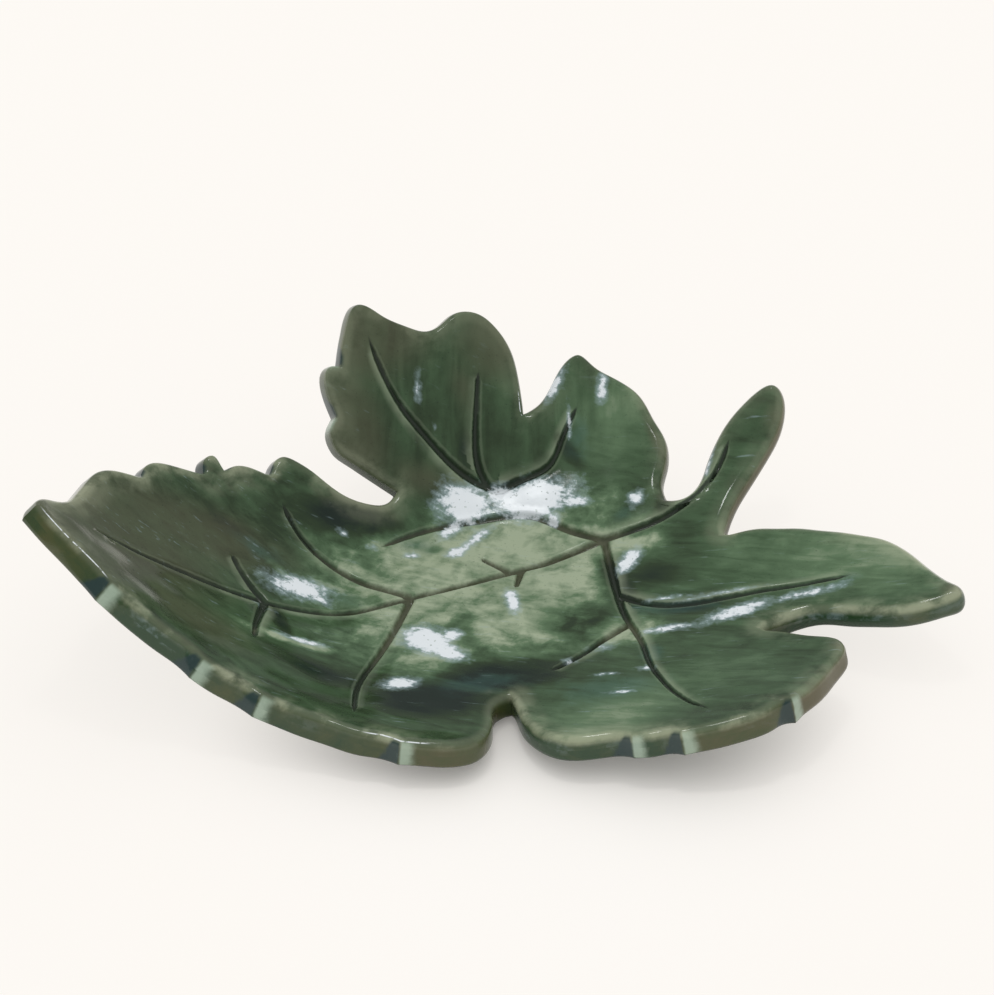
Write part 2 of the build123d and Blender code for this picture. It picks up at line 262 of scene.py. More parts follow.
# Grids of mesh points over the two faces, in metres, and the points round the bare patch
FACE_SPACING = 0.00085
BACK_SPACING = 0.0018
GRID_CLEAR_SHARE = 0.55
PATCH_SIDES = 120

# Lips of the rim: rings in a lip, the largest share of its reach that a coat takes, the shares of the
# rounding tried as its reach, and how often and how far values are blended along the rim
LIP_STEPS = 6
COAT_REACH_SHARE = 0.6
INSET_SHARES = (1, 0.85, 0.7, 0.55, 0.4, 0.25)
LEAST_INSET_SHARE = 0.15
CLEAR_SHARE = 0.93
LEAST_STEP_SHARE = 0.3
LIP_BLENDS = 40
INSET_BLENDS = 6
INSET_SPREAD = 3

# Small distances in metres: between points that are merged, between clay and glaze, of the foot's
# bevel, and over and off the walls of the solid model's box
MERGE_DISTANCE = 1e-7
CLAY_GAP = 0.00003
FOOT_BEVEL = 0.0002
DRAW_REACH = 0.006
WALL_GAP = 0.00002

# Parts of a mesh step in a slope's probe, points handled at a time, and the least angle of a sharp edge
PROBE_PARTS = 10
BLOCK = 4000
SHARP_ANGLE = math.radians(60)

# Millimetres in a metre, and the digits that a size is rounded to
MILLI = 1000
SIZE_DIGITS = 7

# Saw teeth, in millimetres along the rim from a tooth's corner: where its dark cut begins and ends
# and how far that leans with each millimetre down the side, and where its pale corner begins and ends
CUT_START = (-0.3, 0.4)
CUT_END = (0.5, 2.0)
CUT_LEAN = 0.45
SIDE_DEPTH = 4.5
MINT_START = (-3.4, -0.9)
MINT_END = (-0.5, 0.15)

# Largest values that the glaze's attributes hold
VEIN_REACH = 6
VEIN_SIDE_REACH = 2
PATCH_GAP_REACH = 9

# Finish of the glaze and the clay
BUMP_DISTANCE = 0.00004
CLAY_BUMP_DISTANCE = 0.00015
GLAZE_IOR = 1.5
NOISE_MIDDLE = 0.5

# Table, and how much of its plain colour the camera sees through its shadow: in the shadow's middle,
# and how much more further off, with that middle and the distances from it in millimetres
TABLE_WIDTH = 6
TABLE_GLOW = 0.15
FAR_GLOW = 0.66
SHADOW_MIDDLE = (0, -40, 0)
SHADOW_FADE = (15, 62)

# Lamps and surround: strengths, spread in degrees, sizes and distance in metres, and directions as
# azimuth and elevation in degrees
SKY_STRENGTH = 0.24
SKY_SPREAD = 90
SKY_WAY = (78, 62)
WINDOW_SIZE = (0.15, 0.11)
WINDOW_POWER = 0.65
WINDOW_WAY = (85, 82)
WINDOW_DISTANCE = 0.9
SURROUND_COLOUR = (0.98, 0.99, 1.0)
SURROUND_STRENGTH = 0.88
SURROUND_SHEEN = 0.28

# Camera: places in metres, lens and sensor in millimetres
CAMERA_PLACE = (-0.14634, -0.37653, 0.31041)
CAMERA_TARGET = (0.01325, 0.0184, 0.0121)
CAMERA_LENS = 111.7
CAMERA_SENSOR = 36


def size_setting(name, default, description, unit="LENGTH"):
    """Setting for one of the dish's sizes, in metres unless its unit says otherwise."""
    return bpy.props.FloatProperty(name=name, description=description, default=default, unit=unit)


def colour_setting(name, default, description):
    """Setting for one of the dish's colours."""
    return bpy.props.FloatVectorProperty(
        name=name, description=description, subtype="COLOR", default=default, min=0, max=1)


class DishSizes(bpy.types.PropertyGroup):
    """Sizes of the dish, the same ones that its solid model follows."""

    leaf_length: size_setting("Leaf length", 0.140, "Plan length that the outline follows")
    leaf_width: size_setting("Leaf width", 0.098, "Plan width that the outline follows")
    slab_thickness: size_setting("Slab thickness", 0.0045, "Thickness of the glazed slab")
    glaze_thickness: size_setting("Glaze thickness", 0.0004, "Thickness of the glaze coats")
    floor_radius: size_setting("Floor radius", 0.017, "Radius of the flat floor")
    rise_reach: size_setting("Rise reach", 0.050, "Distance from the centre at which the rise is given")
    bowl_rise: size_setting("Bowl rise", 0.032, "Largest rise at that distance")
    rise_power: size_setting("Rise power", 1.65, "How fast the bowl steepens outwards", unit="NONE")
    patch_radius: size_setting("Patch radius", 0.014, "Radius of the bare patch underneath")
    patch_proud: size_setting("Patch height", 0.0003, "How far the bare patch stands out of the glaze")
    rim_rounding: size_setting("Rim rounding", 0.0015, "Radius of the rim's lips")
    vein_width: size_setting("Vein width", 0.0018, "Width of an incised vein at its thick end")
    vein_depth: size_setting("Vein depth", 0.0011, "Depth of an incised vein at its thick end")
    mesh_step: size_setting("Mesh step", 0.0005, "Spacing of the points along the rim and the veins")


class DishColours(bpy.types.PropertyGroup):
    """Colours of the glaze, the bare clay and the table."""

    deep_green: colour_setting("Deep green", (0.010, 0.020, 0.014), "Glaze where it is thick")
    leaf_green: colour_setting("Leaf green", (0.056, 0.102, 0.049), "Glaze of ordinary thickness")
    forest: colour_setting("Forest", (0.026, 0.046, 0.020), "Glaze a little thicker than usual")
    khaki: colour_setting("Khaki", (0.345, 0.405, 0.275), "Glaze at its thinnest on the floor")
    # Milk white is also the colour of painted highlights and painted reflections
    milk_white: colour_setting("Milk white", (0.78, 0.82, 0.84), "Middle of a milky break in the glaze")
    # Milk blue is also the colour of the painted sheen on the rim's sides and of the veil round painted
    # reflections
    milk_blue: colour_setting("Milk blue", (0.30, 0.40, 0.42), "Thin edge of a milky break")
    sage: colour_setting("Sage", (0.108, 0.178, 0.094), "Glaze where it is thin")
    teal: colour_setting("Teal", (0.045, 0.110, 0.095), "Glaze broken to blue-green")
    rim_green: colour_setting("Rim green", (0.018, 0.050, 0.019), "Green of the rim's sides")
    rim_olive: colour_setting("Rim olive", (0.060, 0.073, 0.024), "Olive of the rim's sides")
    rim_brown: colour_setting(
        "Rim brown", (0.095, 0.079, 0.034), "Brown of the rim's sides and of the lobes' tips")
    rim_cream: colour_setting("Rim cream", (0.46, 0.48, 0.33), "Thinnest glaze on the rim's lips")
    vein_dark: colour_setting("Vein dark", (0.025, 0.034, 0.023), "Glaze pooled in the veins")
    vein_olive: colour_setting(
        "Vein olive", (0.078, 0.080, 0.046), "Glaze in the veins of the pale floor")
    # Facet teal stands for pooled glaze and painted shade in the tooth cuts, and facet mint for thin glaze
    # and a painted highlight on their corners
    facet_teal: colour_setting(
        "Facet teal", (0.016, 0.038, 0.038), "Thick glaze in the cuts of the saw teeth")
    facet_mint: colour_setting(
        "Facet mint", (0.46, 0.58, 0.46), "Thin glaze on the corners of the saw teeth")
    bare_clay: colour_setting("Bare clay", (0.56, 0.49, 0.38), "Unglazed clay underneath")
    table_white: colour_setting(
        "Table white", (0.985, 0.950, 0.905), "Warm white of the table and the backdrop")


Sizes = namedtuple("Sizes", list(DishSizes.__annotations__))


def rise_in_direction(angle, rise):
    """Closed curve through the rise shares, in even steps all round, times the rise.

    Between two shares it is here + ((there - before) * t + bend) / 2, a cubic whose slope at each share
    is half the step between its neighbours.
    """
    count = len(RISE_SHARES)
    place = (angle / math.tau) % 1 * count
    first = np.floor(place).astype(int)
    t = place - first
    before, here, there, after = (RISE_SHARES[(first + step) % count] for step in (-1, 0, 1, 2))
    bend = (3 * (here - there) + after - before) * t ** 3
    bend += (2 * before - 5 * here + 4 * there - after) * t ** 2
    return rise * (here + ((there - before) * t + bend) / 2)


def face_height(plan, sizes):
    """Height of the upper face: a flat floor, then the direction's rise * (distance out) ** power."""
    out = np.hypot(plan[..., 0], plan[..., 1]) - sizes.floor_radius
    out = np.maximum(out, 0) / (sizes.rise_reach - sizes.floor_radius)
    rise = rise_in_direction(np.arctan2(plan[..., 1], plan[..., 0]), sizes.bowl_rise)
    return sizes.patch_proud + sizes.slab_thickness + rise * out ** sizes.rise_power


def face_points(plan, sizes):
    """Points of the upper face over the plan, and its unit normals from central differences."""
    probe = sizes.mesh_step / PROBE_PARTS
    slopes = []
    for step in ((probe, 0), (0, probe)):
        slopes.append((face_height(plan + step, sizes) - face_height(plan - step, sizes)) / (2 * probe))
    normals = np.stack([-slopes[0], -slopes[1], np.ones(len(plan))], axis=1)
    return np.column_stack([plan, face_height(plan, sizes)]), unit(normals)


def smooth_path(points, spacing):
    """Natural cubic spline through the points over their chord lengths, in even steps.

    The second derivatives at the points solve the spline's system, 0 at both ends. Between two points
    the curve is a * p + b * q + ((a ** 3 - a) * bend at p + (b ** 3 - b) * bend at q) * gap ** 2 / 6.
    """
    knots = np.concatenate([[0], np.cumsum(np.linalg.norm(np.diff(points, axis=0), axis=1))])
    gaps = np.diff(knots)
    system = np.diag([1, *2 * (gaps[:-1] + gaps[1:]), 1])
    system += np.diag([*gaps[:-1], 0], -1) + np.diag([0, *gaps[1:]], 1)
    right = np.zeros_like(points)
    right[1:-1] = 6 * np.diff(np.diff(points, axis=0) / gaps[:, None], axis=0)
    bends = np.linalg.solve(system, right)
    steps = max(int(math.ceil(knots[-1] / spacing)), 2)
    at = np.linspace(0, knots[-1], steps + 1)
    span = np.clip(np.searchsorted(knots, at, side="right") - 1, 0, len(gaps) - 1)
    gap = gaps[span][:, None]
    a = (knots[span + 1] - at)[:, None] / gap
    b = 1 - a
    curve = a * points[span] + b * points[span + 1]
    curve += ((a ** 3 - a) * bends[span] + (b ** 3 - b) * bends[span + 1]) * gap ** 2 / 6
    return curve


def unit(ways):
    """Rows of vectors, each divided by its length."""
    return ways / np.linalg.norm(ways, axis=1, keepdims=True)


def in_metres(points, sizes):
    """Plan points given in thousandths, in metres."""
    return np.array(points) / THOUSAND * (sizes.leaf_length, sizes.leaf_width)


def rim_line(sizes):
    """Closed outline in plan at even steps, with its normals, lip radii, tooth places and tones.

    The normals are averaged at the corners, and the radii are blended over a few millimetres. The place
    is the distance along the rim from the nearest tooth's corner, less than 0 before it.
    """
    stretches = [smooth_path(in_metres(points, sizes), sizes.mesh_step)[:-1] for points in OUTLINE]
    line = np.concatenate(stretches)
    along = np.roll(line, -1, axis=0) - np.roll(line, 1, axis=0)
    normals = np.column_stack([-along[:, 1], along[:, 0]])
    counts = [len(stretch) for stretch in stretches]
    rounding, *tones = (
        blend_round(np.repeat(shares, counts), LIP_BLENDS)
        for shares in (LIP_SHARES, SIDE_TONES, LIP_TONES))
    starts = np.cumsum([0, *counts[:-1]])[list(TEETH)]
    steps = np.arange(len(line))[:, None] - starts
    steps = (steps + len(line) // 2) % len(line) - len(line) // 2
    tooth = steps[np.arange(len(line)), np.abs(steps).argmin(axis=1)] * sizes.mesh_step
    return line, unit(normals), sizes.rim_rounding * rounding, tooth, tones


def blend_round(values, passes):
    """Values along a closed line, averaged with their neighbours (1 : 2 : 1) so many times over."""
    for _ in range(passes):
        values = (np.roll(values, 1) + 2 * values + np.roll(values, -1)) / 4
    return values


def clear_insets(line, normals, inset):
    """Largest share of the inset at each rim point that stays off the rim's far side and in order."""
    reach = np.zeros(len(line))
    lengths = np.linalg.norm(normals, axis=1)
    steps = np.roll(line, -1, axis=0) - np.roll(line, 1, axis=0)
    for share in INSET_SHARES:
        moved = line - normals * (share * inset)[:, None]
        gap, _ = nearest(moved, line)
        moved_steps = np.roll(moved, -1, axis=0) - np.roll(moved, 1, axis=0)
        ordered = (moved_steps * steps).sum(axis=1) > LEAST_STEP_SHARE * (steps ** 2).sum(axis=1)
        fits = (gap > CLEAR_SHARE * share * inset * lengths) & ordered & (reach == 0)
        reach[fits] = share * inset[fits]
    reach = np.min([np.roll(reach, shift) for shift in range(-INSET_SPREAD, INSET_SPREAD + 1)], axis=0)
    return np.maximum(blend_round(reach, INSET_BLENDS), LEAST_INSET_SHARE * inset)


def vein_lines(sizes):
    """Points along every vein in plan, with the vein's width share at each point.

    The share is (1 - taper * t) * (end - t) * end rate, its last two factors at most 1 together.
    """
    lines = [smooth_path(in_metres(path, sizes), sizes.mesh_step / 2) for path in VEINS.values()]
    along = [np.linspace(0, 1, len(line)) for line in lines]
    return lines, [(1 - VEIN_TAPER * t) * np.clip((VEIN_END - t) * VEIN_END_RATE, 0, 1) for t in along]


def nearest(plan, line):
    """Distance from each plan point to the nearest of the line's points, and which one it is."""
    distance = np.empty(len(plan))
    which = np.empty(len(plan), int)
    for start in range(0, len(plan), BLOCK):
        part = plan[start:start + BLOCK]
        squares = ((part[:, None] - line[None]) ** 2).sum(axis=2)
        best = squares.argmin(axis=1)
        which[start:start + BLOCK] = best
        distance[start:start + BLOCK] = np.sqrt(squares[np.arange(len(part)), best])
    return distance, which


def inside(plan, loop):
    """Whether each plan point lies inside a loop: a ray along +X crosses it an odd number of times."""
    sloping = loop[:, 1] != np.roll(loop[:, 1], 1)
    (x0, y0), (x1, y1) = np.roll(loop, 1, axis=0)[sloping].T, loop[sloping].T
    result = np.empty(len(plan), bool)
    for start in range(0, len(plan), BLOCK):
        x, y = plan[start:start + BLOCK, :, None].transpose(1, 0, 2)
        crossed = ((y0 > y) != (y1 > y)) & (x < (x1 - x0) * (y - y0) / (y1 - y0) + x0)
        result[start:start + BLOCK] = crossed.sum(axis=1) % 2 == 1
    return result


def swell(plan, wavelength, turn):
    """Unevenness of about -1 to 1: sine waves near one wavelength, each in a direction of its own."""
    total = np.zeros(len(plan))
    for k in range(WAVE_COUNT):
        way = np.array([math.cos(turn + k * GOLDEN_TURN), math.sin(turn + k * GOLDEN_TURN)])
        stretch = wavelength * (WAVE_STRETCH[0] + WAVE_STRETCH[1] * k)
        total += np.sin(math.tau * plan @ way / stretch + WAVE_PHASES[0] * turn + WAVE_PHASES[1] * k)
    return total / (WAVE_COUNT / 2)


def spot_distance(plan, spot, sizes):
    """Distance from an oval spot's middle: the root of (along / reach) ** 2 + (across / breadth) ** 2."""
    x, y, reach, breadth, turn, _ = spot
    offset = plan - in_metres((x, y), sizes)
    way = np.array([math.cos(math.radians(turn)), math.sin(math.radians(turn))])
    along = offset @ way / (reach / THOUSAND * sizes.leaf_length)
    across = (offset[:, 1] * way[0] - offset[:, 0] * way[1]) / (breadth / THOUSAND * sizes.leaf_length)
    return np.hypot(along, across)


def spot_field(plan, spots, sizes):
    """Highest of the oval spots at each plan point: its strength in the middle, less 1 on its edge."""
    fields = [spot[-1] - spot_distance(plan, spot, sizes) for spot in spots]
    return np.maximum(np.max(fields, axis=0), -1)


def tone_field(plan, spots, sizes):
    """Sum of soft oval spots: each is its last value * exp(-distance ** 2)."""
    return sum(spot[-1] * np.exp(-spot_distance(plan, spot, sizes) ** 2) for spot in spots)


def hex_grid(box_low, box_high, spacing):
    """Points of a grid of even triangles that fills a plan box: every other row is half a step over."""
    rows = np.arange(box_low[1], box_high[1], spacing * math.sqrt(3) / 2)
    columns = np.arange(box_low[0], box_high[0], spacing)
    x, y = np.meshgrid(columns, rows)
    x = x + (np.arange(len(rows)) % 2)[:, None] * spacing / 2
    return np.column_stack([x.ravel(), y.ravel()])


def keep_apart(points, spacing):
    """Points left over once each that lies within the spacing of an earlier kept one is dropped.

    Sorted by x, every point is compared with the ones 1, 2, 3 and more places on, as long as any is near.
    The drops are then worked out again until they stay the same.
    """
    order = np.argsort(points[:, 0])
    pairs = [np.empty((0, 2), int)]
    for step in range(1, len(points)):
        gaps = points[order[step:]] - points[order[:-step]]
        if gaps[:, 0].min() > spacing:
            break
        close = np.flatnonzero(np.hypot(gaps[:, 0], gaps[:, 1]) <= spacing)
        pairs.append(np.column_stack([order[close], order[close + step]]))
    early, late = np.sort(np.concatenate(pairs), axis=1).T
    kept, before = np.ones(len(points), bool), None
    while not np.array_equal(kept, before):
        before, kept = kept, np.ones(len(points), bool)
        kept[late[before[early]]] = False
    return points[kept]


def triangles_between(points, loops, spacing):
    """Constrained Delaunay triangles of plan points, inside the first loop, as rows of point numbers."""
    edges = np.concatenate([np.column_stack([np.roll(loop, 1), loop]) for loop in loops]).tolist()
    scaled = [Vector(point) for point in (points / spacing).tolist()]
    result = delaunay_2d_cdt(scaled, edges, [], 0, MERGE_DISTANCE, True)
    source = np.array([origins[0] for origins in result[3]])
    faces = source[np.array(result[2])]
    return faces[inside(points[faces].mean(axis=1), points[loops[0]])]


def stitch(first, second):
    """Triangles of the closed strip between two loops with the same count of points."""
    after_first, after_second = np.roll(first, -1), np.roll(second, -1)
    return np.concatenate([
        np.column_stack([first, after_first, after_second]),
        np.column_stack([first, after_second, second]),
    ])


def groove_depth(plan, shape, sizes):
    """Depth of the veins with their soft lips and valleys, the distance in half widths, and which point.

    Across a vein the cut is depth * (1 - u * u) ** 2, where u runs from 0 in its middle to 1 on its edge,
    and the valley round it is valley depth * exp(-(distance / valley width) ** 2).
    """
    distance, which = nearest(plan, shape.vein_points)
    share = shape.vein_shares[which]
    u = distance / (sizes.vein_width / 2 * np.maximum(share, LEAST_VEIN_SHARE))
    cut = sizes.vein_depth * share * np.maximum(1 - u * u, 0) ** 2
    lip = LIP_HEIGHT * share * np.exp(-((u - LIP_PLACE) / LIP_BREADTH) ** 2)
    cut += VALLEY_DEPTH * share * np.exp(-(distance / VALLEY_WIDTH) ** 2)
    return cut - lip, u, which


def surface_relief(plan, shape, sizes):
    """Height of the upper face's unevenness, which fades out towards the rim, less the veins' depth."""
    gap, _ = nearest(plan, shape.rim)
    fade = np.clip(gap / (RELIEF_FADE * sizes.rim_rounding), 0, 1) ** 2
    cut, _, _ = groove_depth(plan, shape, sizes)
    waves = SWELL_HEIGHT * swell(plan, *SWELL_WAVES) + RIPPLE_HEIGHT * swell(plan, *RIPPLE_WAVES)
    return fade * waves - cut


def vein_rows(shape, sizes):
    """Plan points in rows beside every vein, each left out where another vein lies nearer."""
    rows = []
    middle = shape.vein_points[::ROW_STEP]
    sides = np.column_stack([-shape.vein_ways[:, 1], shape.vein_ways[:, 0]])
    half_widths = (sizes.vein_width / 2 * np.maximum(shape.vein_shares, LEAST_ROW_SHARE))[:, None]
    for u in ROW_SHARES:
        row = (shape.vein_points + sides * half_widths * u)[::ROW_STEP]
        distance, _ = nearest(row, shape.vein_points)
        rows.append(row[distance > ROW_CLEAR_SHARE * np.linalg.norm(row - middle, axis=1)])
    return np.concatenate(rows)


@lru_cache
def leaf_shape(sizes):
    """Plan of the leaf that every piece shares: rim, lip insets, veins and triangulated sheets.

    The way out of the rim is its normal in plan, less its part along the upper face's normal. A sheet
    ends where the rim's lip begins, at the rim less the lip's reach and the hand-made wobble.
    """
    shape = SimpleNamespace()
    shape.rim, rim_normals, shape.rounding, shape.tooth, shape.rim_tones = rim_line(sizes)
    _, up = face_points(shape.rim, sizes)
    flat = np.column_stack([rim_normals, np.zeros(len(shape.rim))])
    shape.out = unit(flat - up * (flat * up).sum(axis=1, keepdims=True))[:, :2]
    shape.reach = clear_insets(shape.rim, shape.out, shape.rounding)
    wobble = 1 + swell(shape.rim, *WOBBLE_WAVES)
    shape.wobble = np.clip(WOBBLE_HEIGHT / 2 * wobble, 0, shape.reach / WOBBLE_PARTS)
    points, shares = vein_lines(sizes)
    shape.vein_points, shape.vein_shares = np.concatenate(points), np.concatenate(shares)
    shape.vein_ways = unit(np.concatenate([np.gradient(line, axis=0) for line in points]))

    loop = shape.rim - shape.out * (shape.reach + shape.wobble)[:, None]
    rows = vein_rows(shape, sizes)
    turns = np.linspace(0, math.tau, PATCH_SIDES, endpoint=False)
    circle = sizes.patch_radius * np.column_stack([np.cos(turns), np.sin(turns)])
    shape.sheets = {}
    for side, marked, spacing in (("face", rows, FACE_SPACING), ("back", circle, BACK_SPACING)):
        grid = hex_grid(loop.min(axis=0), loop.max(axis=0), spacing)
        distance, _ = nearest(grid, np.concatenate([marked, loop]))
        grid = grid[(distance > GRID_CLEAR_SHARE * spacing) & inside(grid, loop)]
        if side == "face":
            distance, _ = nearest(marked, loop)
            marked = keep_apart(marked[inside(marked, loop) & (distance > sizes.mesh_step / 2)], ROW_GAP)
        points = np.concatenate([loop, marked, grid])
        loops = [np.arange(len(loop))]
        if side == "back":
            loops.append(len(loop) + np.arange(PATCH_SIDES))
        shape.sheets[side] = (points, triangles_between(points, loops, spacing))
    return shape


def slab_points(plan, depth, relief, sizes):
    """Points the given depth straight under the upper face, raised along its normal by the relief."""
    points, normals = face_points(plan, sizes)
    return points + normals * (relief - depth)[:, None]


@lru_cache
def outer_reach(sizes):
    """Lowest and highest corners of the dish's outer skins, before they are drawn in."""
    points = np.concatenate([coat_side(leaf_shape(sizes), sizes, side, 0)[0] for side in ("face", "back")])
    return points.min(axis=0), points.max(axis=0)


def draw_in(points, sizes):
    """Points kept inside the solid model's box: the last stretch before each side is shortened evenly."""
    lowest, highest = outer_reach(sizes)
    for axis, sign, reach, wall in (
            (0, -1, -lowest[0], -CAD_BOX[0][0]), (0, 1, highest[0], CAD_BOX[1][0]),
            (1, -1, -lowest[1], -CAD_BOX[0][1]), (1, 1, highest[1], CAD_BOX[1][1]),
            (2, 1, highest[2], CAD_BOX[1][2])):
        wall = wall - WALL_GAP
        if reach > wall:
            knee = wall - DRAW_REACH
            beyond = np.maximum(sign * points[:, axis] - knee, 0)
            points[:, axis] -= sign * beyond * (reach - wall) / (reach - knee)
    return points


def rim_rings(shape, sizes, lower, coat):
    """Rings of a rounded lip: quarter circle of insets and depths, from the sheet's edge to the side.

    At a turn t the inset is reach * (1 - sin t) and the depth rounding * (1 - cos t). The coat moves
    the ring into the slab by that thickness, and a lower lip mirrors the upper one's depths.
    """
    rings = []
    for turn in np.linspace(0, math.pi / 2, LIP_STEPS + 1)[1:]:
        across = np.minimum(coat, COAT_REACH_SHARE * shape.reach) * math.sin(turn)
        inset = shape.wobble + shape.reach * (1 - math.sin(turn)) + across
        depth = shape.rounding * (1 - math.cos(turn)) + coat * math.cos(turn)
        depth = sizes.slab_thickness - depth if lower else depth
        edge = (-inset if lower else inset) - depth
        rings.append((shape.rim - shape.out * inset[:, None], depth, edge))
    return rings


def coat_side(shape, sizes, side, coat):
    """One skin of a slab half: its sheet, its lip's rings and a last ring halfway down the side.

    Gives points, triangles, the last ring's point numbers, plan points and edge distances.
    """
    lower = side == "back"
    plan, faces = shape.sheets[side]
    count = len(shape.rim)
    gap, _ = nearest(plan, shape.rim)
    depth = np.full(len(plan), sizes.slab_thickness - coat if lower else coat)
    relief = back_relief(plan, sizes) if lower else surface_relief(plan, shape, sizes)
    relief[:count] = 0
    edge = -sizes.slab_thickness - gap if lower else gap
    parts = [(plan, depth, relief, edge)]
    rings = rim_rings(shape, sizes, lower, coat)
    middle = np.full(count, sizes.slab_thickness / 2)
    rings.append((rings[-1][0], middle, -middle))
    triangles = [faces]
    before = np.arange(count)
    total = len(plan)
    for ring_plan, ring_depth, ring_edge in rings:
        now = total + np.arange(count)
        parts.append((ring_plan, ring_depth, np.zeros(count), ring_edge))
        triangles.append(stitch(before, now))
        before, total = now, total + count
    plan, depth, relief, edge = (np.concatenate(column) for column in zip(*parts))
    points = slab_points(plan, depth, relief, sizes)
    return points, np.concatenate(triangles), before, plan, edge


def back_relief(plan, sizes):
    """Height of the underside's unevenness, from none at the patch's edge to all of it a radius on."""
    out = np.hypot(plan[:, 0], plan[:, 1]) - sizes.patch_radius
    fade = np.clip(out / sizes.patch_radius, 0, 1)
    return fade * (BACK_SWELL_HEIGHT * (BACK_SWELL_LIFT + swell(plan, *BACK_SWELL_WAVES)))


def step_between(values, low, high):
    """Smooth step t * t * (3 - 2 * t), 0 at the low value and 1 at the high one."""
    t = np.clip((values - low) / (high - low), 0, 1)
    return t * t * (3 - 2 * t)


def rim_tones(plan, edge, shape):
    """Attributes that the rim's colours follow on both coats, one value a point.

    A tooth's dark cut lies after its corner and leans along the rim further down. Its pale corner lies
    before it.
    """
    _, place = nearest(plan, shape.rim)
    tooth = shape.tooth[place] * MILLI
    cut_end = step_between(tooth - CUT_LEAN * np.clip(-edge * MILLI, 0, SIDE_DEPTH), *CUT_END)
    side_tone, lip_tone = shape.rim_tones
    return {
        "edge": edge * MILLI,
        "facet": step_between(tooth, *CUT_START) * (1 - cut_end),
        "mint": step_between(tooth, *MINT_START) * (1 - step_between(tooth, *MINT_END)),
        "rim_tone": side_tone[place],
        "lip_tone": lip_tone[place],
    }


def glaze_tones(plan, edge, shape, sizes):
    """Attributes that the face glaze's colours follow, one value a point.

    They hold the distance from a vein and the side of it, the spots, and where the glaze has run down.
    """
    _, u, which = groove_depth(plan, shape, sizes)
    away = plan - shape.vein_points[which]
    ways = shape.vein_ways[which]
    side = ways[:, 0] * away[:, 1] - ways[:, 1] * away[:, 0]
    share_x, share_y = (plan / (sizes.leaf_length, sizes.leaf_width)).T
    rear = np.clip((share_y - REAR_START_SHARE) / REAR_BLEND_SHARE, 0, 1)
    rear = rear * np.clip((share_x + REAR_LEFT_SHARE) / REAR_BLEND_SHARE, 0, 1)
    return {
        "vein": np.minimum(u, VEIN_REACH),
        "vein_share": shape.vein_shares[which],
        "vein_side": np.clip(side / (sizes.vein_width / 2), -VEIN_SIDE_REACH, VEIN_SIDE_REACH),
        **{name: spot_field(plan, spots, sizes) for name, spots in SPOTS.items()},
        "tone": tone_field(plan, TONE_SPOTS, sizes),
        "runs": rear,
        **rim_tones(plan, edge, shape),
    }


def build_mesh(name, points, faces, attributes):
    """Closed mesh object at the origin from arrays of points and triangles, faces outwards."""
    used, faces = np.unique(faces, return_inverse=True)
    points = draw_in(points[used], chosen_sizes())
    mesh = bpy.data.meshes.new(name)
    mesh.from_pydata(points.tolist(), [], faces.reshape(-1, 3).tolist())
    for key, values in attributes.items():
        layer = mesh.attributes.new(key, "FLOAT", "POINT")
        layer.data.foreach_set("value", values[used].astype(np.float32))
    form = bmesh.new()
    form.from_mesh(mesh)
    bmesh.ops.remove_doubles(form, verts=form.verts, dist=MERGE_DISTANCE)
    bmesh.ops.recalc_face_normals(form, faces=form.faces)
    open_edges = sum(not edge.is_manifold for edge in form.edges)
    form.to_mesh(mesh)
    form.free()
    if open_edges:
        raise RuntimeError(f"{name} is not closed: {open_edges} edges")
    mesh.shade_smooth()
    mesh.set_sharp_from_angle(angle=SHARP_ANGLE)
    piece = bpy.data.objects.new(name, mesh)
    bpy.context.scene.collection.objects.link(piece)
    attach(piece, "root")
    return piece


def outside_patch(points, faces, sizes):
    """The triangles of the underside that lie outside the bare patch."""
    middles = points[faces].mean(axis=1)
    low = middles[:, 2] < sizes.patch_proud + sizes.slab_thickness / 2
    return faces[~(low & (np.hypot(middles[:, 0], middles[:, 1]) < sizes.patch_radius))]


def coat_skins(sizes, side):
    """A glaze coat's outer skin, its inner one a coat lower, and the strip that joins them at the rim.

    Gives points, a list of triangles, and the outer skin's plan points and edge distances.
    """
    shape = leaf_shape(sizes)
    outer, faces, last, plan, edge = coat_side(shape, sizes, side, 0)
    inner, inner_faces, inner_last, _, _ = coat_side(shape, sizes, side, sizes.glaze_thickness)
    if side == "back":
        faces, inner_faces = outside_patch(outer, faces, sizes), outside_patch(inner, inner_faces, sizes)
    offset = len(outer)
    triangles = [faces, inner_faces[:, ::-1] + offset, stitch(last, inner_last + offset)]
    return np.concatenate([outer, inner]), triangles, plan, edge


def on_both_skins(tones):
    """Attributes of the outer skin, repeated for the inner one."""
    return {key: np.tile(values, 2) for key, values in tones.items()}


def face_glaze_arrays(sizes):
    """Glaze on the upper face and on the rim's upper half."""
    points, triangles, plan, edge = coat_skins(sizes, "face")
    tones = glaze_tones(plan, edge, leaf_shape(sizes), sizes)
    return points, np.concatenate(triangles), on_both_skins(tones)


def back_glaze_arrays(sizes):
    """Glaze on the underside, with a round hole over the bare patch."""
    shape = leaf_shape(sizes)
    points, triangles, plan, edge = coat_skins(sizes, "back")
    circle = len(shape.rim) + np.arange(PATCH_SIDES)
    triangles.append(stitch(circle, circle + len(plan)))
    out = np.hypot(plan[:, 0], plan[:, 1]) - sizes.patch_radius
    tones = {"patch_gap": np.clip(out * MILLI, 0, PATCH_GAP_REACH), **rim_tones(plan, edge, shape)}
    return points, np.concatenate(triangles), on_both_skins(tones)


